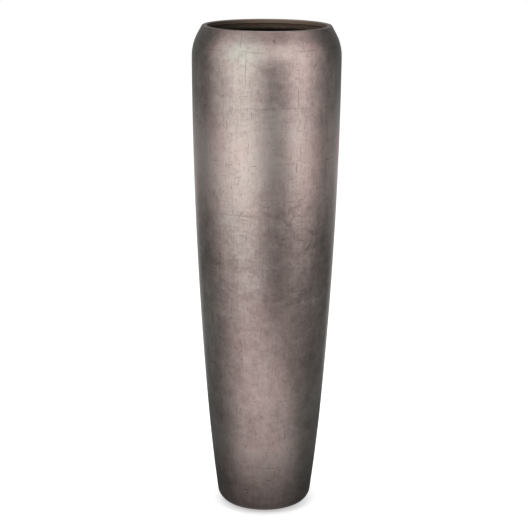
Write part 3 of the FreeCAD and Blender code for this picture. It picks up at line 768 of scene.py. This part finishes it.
def repeated_piece(name, spots, shape, finish):
    """Copies of a shape at pairs of place and aim."""
    seed = bpy.data.meshes.new(f"{name}_spots")
    seed.from_pydata([place for place, _ in spots], [], [])
    aims = seed.attributes.new("aim", "FLOAT_VECTOR", "POINT")
    aims.data.foreach_set("vector", [part for _, aim in spots for part in aim])
    piece = grown(name, seed, repeat_tree(), {"Shape": shape, "Material": finish})
    bpy.data.objects.remove(shape)
    return piece


def unpainted(points):
    return [(*point, 0.0) for point in points]


def dress(node, finish):
    """Gives a carried-over CAD node its finish."""
    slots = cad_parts[node].data.materials
    slots.clear()
    slots.append(finish)


def settle(piece, body, slot, *nodes):
    """Lets a piece ride on a body and stand for CAD nodes."""
    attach(piece, body)
    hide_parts(*nodes)


# Operators

# Dents of the insert's sheet: how far it strays from a true turning, and how close the dents lie
SHEET_DENTS = {"unevenness": 0.0001, "waves": 18.0}

# Straight steps around one corner of a handle's wire
CORNER_STEPS = 12


class PLANTER_OT_shell(bpy.types.Operator):
    """Build the leaf-lacquered shell"""

    bl_idname = "planter.shell"
    bl_label = "Shell"

    def execute(self, context):
        size = context.scene.planter_shell
        finish = leaf_lacquer(context.scene.planter_finish)
        shell = turned_piece("shell", shell_rows(size), finish, size.segments, size.unevenness, waves=11.0)
        settle(shell, "vase", "leaf_lacquer", "vase_shell")
        return {"FINISHED"}


class PLANTER_OT_insert(bpy.types.Operator):
    """Build the sheet-metal insert: its wall with the wired edge, and its pan"""

    bl_idname = "planter.insert"
    bl_label = "Insert"

    def execute(self, context):
        size = context.scene.planter_insert
        finish = galvanised_sheet(context.scene.planter_finish)
        low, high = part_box("insert_wall")
        seat_z = high.z - 2 * size.bead
        over = seat_z + size.sheet
        tub_r = high.x - size.flange
        bead_r = high.x - size.bead
        bead_back = sqrt(size.bead ** 2 - (size.bead - size.sheet) ** 2)
        bend_r = tub_r + size.bend * cos(size.taper)
        bend_z = seat_z - size.bend
        tub_z = bend_z + size.bend * sin(size.taper)
        outer = size.bend + size.sheet
        across = size.sheet / cos(size.taper)

        def wall(z):
            return tub_r - (tub_z - z) * tan(size.taper)

        lower_edge = Corner(wall(low.z), low.z)
        tub = [
            lower_edge,
            Corner(tub_r, tub_z, size.bend, RIGHT),
            Corner(bend_r, seat_z),
            Corner(bead_r, seat_z, size.bead, LEFT, True),
            Corner(bead_r - bead_back, over),
            Corner(bend_r, over, outer),
            Corner(bend_r - outer * cos(size.taper), bend_z + outer * sin(size.taper)),
            Corner(wall(low.z) - across, low.z),
            lower_edge,
        ]
        rows = unpainted(trace(tub, spacing=0.02))
        rows.append(rows[0])
        wall_piece = turned_piece("insert_tub", rows, finish, segments=160, **SHEET_DENTS)
        settle(wall_piece, "insert", "galvanised_sheet", "insert_wall")

        pan_low, pan_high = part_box("insert_bottom")
        top = pan_low.z + size.sheet

        def rim(z):
            return wall(z) - across - size.bond_gap

        lean = tan(size.taper)
        flat_out = rim(pan_low.z) - outer * (1 - lean)
        flat_in = rim(top) - across - size.bend * (1 - lean)
        pan = [
            Corner(0.0, pan_low.z),
            Corner(flat_out, pan_low.z, outer),
            Corner(rim(pan_low.z + outer), pan_low.z + outer),
            Corner(rim(pan_high.z), pan_high.z),
            Corner(rim(pan_high.z) - across, pan_high.z),
            Corner(rim(top + size.bend) - across, top + size.bend, size.bend, RIGHT),
            Corner(flat_in, top),
            Corner(0.0, top),
            Corner(0.0, top),
        ]
        pan_rows = unpainted(trace(pan, spacing=0.01))
        pan_piece = turned_piece("insert_pan", pan_rows, finish, segments=128, **SHEET_DENTS)
        settle(pan_piece, "insert", "galvanised_sheet", "insert_bottom")
        return {"FINISHED"}


class PLANTER_OT_handles(bpy.types.Operator):
    """Build the two wire handles and finish their lugs"""

    bl_idname = "planter.handles"
    bl_label = "Handles"

    def execute(self, context):
        size = context.scene.planter_insert
        wire = plain_metal(
            "plated_wire", (0.46, 0.45, 0.43), (0.66, 0.65, 0.62), roughness=0.30, scale=60.0, grain=700.0
        )
        zinc = plain_metal(
            "cast_zinc", (0.36, 0.36, 0.37), (0.52, 0.52, 0.53), roughness=0.48, scale=90.0, grain=500.0
        )
        tree = wire_tree()
        for side in ("right", "left"):
            low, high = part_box(f"handle_{side}")
            middle = (low + high) / 2
            half_y = (high.y - low.y) / 2 - size.wire
            half_z = (high.z - low.z) / 2 - size.wire
            corner = size.handle_corner
            loop = []
            for quarter, (east, up) in enumerate(((1, 1), (-1, 1), (-1, -1), (1, -1))):
                for step in range(CORNER_STEPS + 1):
                    bearing = (quarter + step / CORNER_STEPS) * pi / 2
                    y = east * (half_y - corner) + corner * cos(bearing)
                    z = up * (half_z - corner) + corner * sin(bearing)
                    loop.append((middle.x, middle.y + y, middle.z + z))
            seed = bpy.data.meshes.new(f"handle_{side}_path")
            seed.from_pydata(loop, [(spot, (spot + 1) % len(loop)) for spot in range(len(loop))], [])
            handle = grown(f"wire_handle_{side}", seed, tree, {
                "Radius": size.wire, "Facets": 24, "Material": wire,
            })
            settle(handle, f"{side}_handle", "plated_wire", f"handle_{side}")
            dress(f"handle_lug_{side}", zinc)
        return {"FINISHED"}


class PLANTER_OT_rivets(bpy.types.Operator):
    """Set the domed rivets that hold the lugs"""

    bl_idname = "planter.rivets"
    bl_label = "Rivets"

    def execute(self, context):
        size = context.scene.planter_insert
        steel = plain_metal(
            "rivet_steel", (0.40, 0.40, 0.41), (0.60, 0.60, 0.60), roughness=0.34, scale=160.0, grain=900.0
        )
        dome = (size.rivet_head ** 2 + size.rivet_dome ** 2) / (2 * size.rivet_dome)
        section = trace([
            Corner(0.0, 0.0),
            Corner(size.rivet_head, 0.0, dome),
            Corner(0.0, size.rivet_dome),
            Corner(0.0, size.rivet_dome),
        ], spacing=0.001, arc_step=radians(6))
        head = turned_piece("rivet_head_shape", unpainted(section), steel, segments=32)
        spots = rivet_faces(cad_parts["lug_rivets"].data, size)
        piece = repeated_piece("rivet_heads", spots, head, steel)
        settle(piece, "insert", "rivet_steel", "lug_rivets")
        return {"FINISHED"}


def rivet_faces(mesh, size):
    """Where the rivets' heads sit, and which way they look, from the CAD rivets."""
    low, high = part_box("lug_rivets")
    lumps = {}
    for vertex in mesh.vertices:
        key = (vertex.co.x > 0, vertex.co.z > (low.z + high.z) / 2)
        lumps.setdefault(key, []).append(vertex.co)
    spots = []
    for lump in lumps.values():
        xs = [spot.x for spot in lump]
        zs = [spot.z for spot in lump]
        height = (min(zs) + max(zs)) / 2
        spots.append(((max(xs) - size.rivet_dome, 0.0, height), (1.0, 0.0, 0.0)))
        spots.append(((min(xs) + size.rivet_dome, 0.0, height), (-1.0, 0.0, 0.0)))
    return spots


class PLANTER_OT_foot(bpy.types.Operator):
    """Build the floor pads and finish the plate, ballast, drain and brackets inside"""

    bl_idname = "planter.foot"
    bl_label = "Foot and inside"

    def execute(self, context):
        look = context.scene.planter_finish
        rubber = black_rubber(look)
        low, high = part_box(PADS[0])
        radius = (high.x - low.x) / 2
        height = high.z - low.z
        rounding = 0.0008
        groove = 0.0005
        groove_from, groove_to, slope = radius * 0.60, radius * 0.66, radius * 0.05
        section = trace([
            Corner(0.0, 0.0),
            Corner(groove_from - slope, 0.0),
            Corner(groove_from, groove),
            Corner(groove_to, groove),
            Corner(groove_to + slope, 0.0),
            Corner(radius - rounding, 0.0, rounding),
            Corner(radius, rounding),
            Corner(radius, height),
            Corner(0.0, height),
            Corner(0.0, height),
        ], spacing=0.004)
        pad = turned_piece("pad_shape", unpainted(section), rubber, segments=48)
        spots = []
        for name in PADS:
            low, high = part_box(name)
            middle = (low + high) / 2
            spots.append(((middle.x, middle.y, low.z), (0.0, 0.0, 1.0)))
        pads = repeated_piece("floor_pads", spots, pad, rubber)
        settle(pads, "vase", "black_rubber", *PADS)
        dress("drain_plug", rubber)
        dress("drain_tube", drain_pipe())
        dress("ballast", mortar())
        composite = moulded_composite(look)
        for name in ("base_plate", *BRACKETS):
            dress(name, composite)
        return {"FINISHED"}


class PLANTER_OT_stage(bpy.types.Operator):
    """Set up the floor, the light tent, the lamps and the camera"""

    bl_idname = "planter.stage"
    bl_label = "Studio"

    def execute(self, context):
        scene = context.scene
        scene.view_settings.view_transform = "Standard"
        set_camera(scene)
        set_world(scene)
        set_floor()
        set_tent(scene.planter_stage)
        set_lamps()
        return {"FINISHED"}


def set_camera(scene):
    stage = scene.planter_stage
    lens = bpy.data.cameras.new("camera")
    lens.sensor_width = SENSOR
    lens.lens = stage.focal_pixels / PHOTO_SIDE * SENSOR
    camera = bpy.data.objects.new("camera", lens)
    scene.collection.objects.link(camera)
    turn = (
        Matrix.Rotation(stage.camera_yaw, 4, "Z")
        @ Matrix.Rotation(pi / 2 - stage.camera_pitch, 4, "X")
        @ Matrix.Rotation(stage.camera_roll, 4, "Z")
    )
    camera.matrix_world = Matrix.Translation((0.0, -stage.camera_distance, stage.camera_height)) @ turn
    scene.camera = camera


# The world lights the planter with a plain grey, and is white where it is seen
WORLD_LIGHT = 0.55


def set_world(scene):
    world = bpy.data.worlds.new("studio")
    scene.world = world
    world.use_nodes = True
    world.cycles.sampling_method = "NONE"
    world.node_tree.nodes.clear()
    graph = Graph(world.node_tree)
    rays = graph.add("ShaderNodeLightPath")
    seen = (rays + rays.output("Is Glossy Ray") + rays.output("Is Transmission Ray")).math("MINIMUM", 1.0)
    strength = seen * (1 - WORLD_LIGHT) + WORLD_LIGHT
    shade = graph.add(
        "ShaderNodeBackground", inputs={"Color": (1.0, 1.0, 1.0, 1.0), "Strength": strength}
    )
    graph.add("ShaderNodeOutputWorld", inputs={"Surface": shade})


# Paper of the floor: its own colour, the light it adds of itself beside the foot and further out, and the
# soft shadow between the two, which lies a little behind the planter
PAPER = (0.78, 0.78, 0.78, 1.0)
PAPER_GLOW_NEAR = (0.45, 0.45, 0.45)
PAPER_GLOW_FAR = (0.64, 0.64, 0.64)
SHADOW_START, SHADOW_END = 0.105, 0.16
SHADOW_BACK, SHADOW_STRETCH = 0.03, 0.75
FLOOR_REACH = 9.0


def set_floor():
    mesh = bpy.data.meshes.new("floor")
    corners = ((-1, -1), (1, -1), (1, 1), (-1, 1))
    mesh.from_pydata([(FLOOR_REACH * x, FLOOR_REACH * y, 0.0) for x, y in corners], [], [(0, 1, 2, 3)])
    floor = placed("floor", mesh)
    finish = Finish("floor_paper")
    x, y, _ = finish.split(finish.place())
    behind = (y - SHADOW_BACK) * SHADOW_STRETCH
    aside = (x * x + behind * behind).math("SQRT")
    finish.surface(
        Base_Color=PAPER,
        Roughness=0.9,
        Specular_IOR_Level=0.0,
        Emission_Color=finish.mix(aside.ramp(SHADOW_START, SHADOW_END), PAPER_GLOW_NEAR, PAPER_GLOW_FAR),
        Emission_Strength=1.0,
    )
    from_below = finish.add("ShaderNodeNewGeometry", out="Backfacing")
    clear = finish.add("ShaderNodeBsdfTransparent")
    paper = Value(finish, finish.shader.outputs["BSDF"])
    sheet = finish.add("ShaderNodeMixShader", inputs={0: from_below, 1: paper, 2: clear})
    mesh.materials.append(finish.show(sheet))
    finish.material.cycles.emission_sampling = "NONE"


# Light of the dark cloth, of the windows' soft fringes and of their middles
CLOTH_TINT = (0.87, 1.0, 0.965)
FRINGE_TINT = (1.06, 0.98, 0.995)
WINDOW_TINT = (0.81, 1.0, 0.94)

# Bearings in degrees, 0 towards the camera, between which a patch of the tent is lit, and how wide each of
# its two soft sides is
Span = namedtuple("Span", "start end soft_start soft_end")
LEFT_WINDOW = Span(-64, -13, 78, 46)
RIGHT_WINDOW = Span(36, 61, 42, 64)
BAR = Span(-78, 72, 70, 80)
BAR_DIP = Span(-16, 24, 30, 30)
NEAR_FLOOR = Span(-49, 49, 92, 80)
NEAR_DIP = Span(-14, 22, 30, 30)
FAR_FLOOR = Span(-64, -4, 60, 46)
FRONT_FLOOR = Span(-45, 40, 50, 50)
WARM_FLOOR = Span(-80, 55, 70, 70)
COOL_STRIP = Span(-6, 30, 20, 20)

# Heights on the cloth that differ from the rest: middle and half height
Belt = namedtuple("Belt", "middle half")
SHOULDER_BELT = Belt(1.42, 0.25)
KNEE_BELT = Belt(0.45, 0.22)
CLEAR_BELT = Belt(0.42, 0.2)

# Faces around the tent, its lower edge, and the light where it is brightest; the colour carries what varies
TENT_SIDES = 72
TENT_FOOT = 0.0015
TENT_PEAK = 2.5


def tent_mesh(stage):
    rim = [(sin(2 * pi * side / TENT_SIDES), -cos(2 * pi * side / TENT_SIDES)) for side in range(TENT_SIDES)]
    points = [
        (stage.tent_radius * x, stage.tent_radius * y, z)
        for z in (TENT_FOOT, stage.tent_height)
        for x, y in rim
    ]
    faces = []
    for side in range(TENT_SIDES):
        following = (side + 1) % TENT_SIDES
        faces.append((side, following, TENT_SIDES + following, TENT_SIDES + side))
    faces += [tuple(range(TENT_SIDES)), tuple(range(TENT_SIDES, 2 * TENT_SIDES))]
    mesh = bpy.data.meshes.new("tent")
    mesh.from_pydata(points, [], faces)
    return mesh


def tent_cloth(stage):
    cloth = Finish("tent_cloth")
    x, y, z = cloth.split(cloth.place())
    bearing = cloth.math("ARCTAN2", x, y * -1.0) * (180 / pi)
    reach = (x * x + y * y).math("SQRT")
    on_floor = 1 - z.ramp(TENT_FOOT + 0.0005, TENT_FOOT + 0.0025)
    overhead = z.ramp(stage.tent_height - 0.004, stage.tent_height - 0.002)

    def window(span, start_shift=0.0, end_shift=0.0):
        start = span.start + start_shift
        end = span.end + end_shift
        opening = bearing.ramp(start - span.soft_start / 2, start + span.soft_start / 2)
        return opening * (1 - bearing.ramp(end - span.soft_end / 2, end + span.soft_end / 2))

    def stretch(belt):
        return 1 - (z - belt.middle).math("ABSOLUTE").ramp(belt.half * 0.3, belt.half * 1.5)

    # Walls: two tall windows, the bar above the camera, and the cloth behind the planter
    low = 1 - z.ramp(0.3, 0.75)
    left = window(LEFT_WINDOW, start_shift=low * -6)
    left = left * (1 + 0.45 * stretch(SHOULDER_BELT) + 0.32 * (1 - z.ramp(0.3, 0.6)))
    right = window(RIGHT_WINDOW, start_shift=low * 5, end_shift=low * 12)
    right = right * z.ramp(-0.12, 0.34) * (1 + 0.3 * stretch(SHOULDER_BELT))
    bar = window(BAR) * z.ramp(0.76, 1.55) * (1 - 0.2 * z.ramp(2.4, 3.0))
    bar = bar * (1 - 0.28 * window(BAR_DIP)) * stage.bar_level
    back = bearing.math("ABSOLUTE").ramp(134, 158)
    wall = (left * stage.left_level).math("MAXIMUM", right * stage.right_level).math("MAXIMUM", bar)
    wall = wall + back * (stage.back_level + 0.27 * (1 - z.ramp(0.2, 0.62)))
    wall = wall + stage.cloth_level + 0.23 * stretch(KNEE_BELT)

    # Overhead: the cloth with a skylight above the mouth
    skylight = (1 - reach.ramp(0.5, 0.9)) * 0.9
    around = wall * (1 - overhead) + overhead * (stage.ceiling_level + skylight)

    # Floor: a lit patch in front with a dip before the foot, and fainter patches further out
    near = window(NEAR_FLOOR, end_shift=reach.ramp(0.62, 0.95) * -25)
    near = near * reach.ramp(0.11, 0.68) * (1 - reach.ramp(0.98, 1.36)) * stage.floor_level
    near = near * (1 - 0.32 * window(NEAR_DIP) * (1 - reach.ramp(0.35, 0.6)))
    far = window(FAR_FLOOR) * reach.ramp(1.1, 1.6) * 0.35
    behind = back * reach.ramp(0.7, 1.2) * 0.36
    front = window(FRONT_FLOOR) * 0.06
    below = near + far + behind + front + 0.052 + 0.058 * reach.ramp(0.15, 0.6)
    strength = on_floor * below + (1 - on_floor) * around

    # Tint: the fringes are warm, the cloth and the middles of the windows are cool
    warm = strength.ramp(0.12, 0.5) * (1 - on_floor * 0.5) + on_floor * window(WARM_FLOOR) * 0.7
    warm = warm - near * 0.7 + overhead * 0.6 - stretch(KNEE_BELT) * window(COOL_STRIP) * 0.4
    clear = stretch(CLEAR_BELT) + z.ramp(0.8, 1.3) * (1 - 0.3 * z.ramp(2.0, 2.4))
    clear = clear * strength.ramp(0.7, 1.05) * (1 - 0.6 * bearing.ramp(5, 25))
    tint = cloth.mix(clear, cloth.mix(warm, CLOTH_TINT, FRINGE_TINT), WINDOW_TINT)
    cloth.material.cycles.emission_sampling = "NONE"
    return cloth.surface(
        Base_Color=(0.0, 0.0, 0.0, 1.0),
        Specular_IOR_Level=0.0,
        Emission_Color=cloth.mix(strength / TENT_PEAK, (0.0, 0.0, 0.0), tint),
        Emission_Strength=TENT_PEAK,
    )


def set_tent(stage):
    """Dark cloth around, above and below, with two tall windows of light, a bar of light, a skylight and a
    lit patch of floor. Only the planter's gloss sees it."""
    mesh = tent_mesh(stage)
    tent = placed("tent", mesh)
    mesh.materials.append(tent_cloth(stage))
    for ray in ("camera", "diffuse", "transmission", "volume_scatter", "shadow"):
        setattr(tent, f"visible_{ray}", False)


def set_lamps():
    """Two softboxes at the front and one overhead, which light the floor and the inside of the neck."""
    for name, place, size, power in (
        ("left_softbox", (-1.5, -1.8, 2.6), 1.6, 24.0),
        ("right_softbox", (1.7, -1.5, 2.2), 1.6, 16.0),
        ("top_softbox", (0.0, 0.2, 3.0), 2.0, 22.0),
    ):
        lamp = bpy.data.lights.new(name, "AREA")
        lamp.size = size
        lamp.energy = power
        softbox = bpy.data.objects.new(name, lamp)
        bpy.context.scene.collection.objects.link(softbox)
        aim = Vector((0.0, 0.0, 0.9)) - Vector(place)
        softbox.matrix_world = Matrix.Translation(place) @ aim.to_track_quat("-Z", "Y").to_matrix().to_4x4()
        softbox.visible_glossy = False


# Panel and registration

OPERATORS = (
    PLANTER_OT_shell,
    PLANTER_OT_insert,
    PLANTER_OT_handles,
    PLANTER_OT_rivets,
    PLANTER_OT_foot,
    PLANTER_OT_stage,
)
GROUPS = {
    "planter_shell": PlanterShell,
    "planter_insert": PlanterInsert,
    "planter_finish": PlanterFinish,
    "planter_stage": PlanterStage,
}


class PLANTER_PT_panel(bpy.types.Panel):
    """Lists the planter's settings and the steps that build it"""

    bl_idname = "PLANTER_PT_panel"
    bl_label = "Leaf Lacquer Planter"
    bl_space_type = "VIEW_3D"
    bl_region_type = "UI"
    bl_category = "Planter"

    def draw(self, context):
        for key, group in GROUPS.items():
            box = self.layout.box()
            box.label(text=group.__doc__)
            for name in group.__annotations__:
                box.prop(getattr(context.scene, key), name)
        for operator in OPERATORS:
            self.layout.operator(operator.bl_idname)


def register():
    for group in GROUPS.values():
        bpy.utils.register_class(group)
    for key, group in GROUPS.items():
        setattr(bpy.types.Scene, key, PointerProperty(type=group))
    for operator in OPERATORS:
        bpy.utils.register_class(operator)
    bpy.utils.register_class(PLANTER_PT_panel)


def unregister():
    bpy.utils.unregister_class(PLANTER_PT_panel)
    for operator in reversed(OPERATORS):
        bpy.utils.unregister_class(operator)
    for key in GROUPS:
        delattr(bpy.types.Scene, key)
    for group in reversed(list(GROUPS.values())):
        bpy.utils.unregister_class(group)


def main():
    register()
    bpy.ops.planter.shell()
    bpy.ops.planter.insert()
    bpy.ops.planter.handles()
    bpy.ops.planter.rivets()
    bpy.ops.planter.foot()
    bpy.ops.planter.stage()


if __name__ == "__main__":
    main()
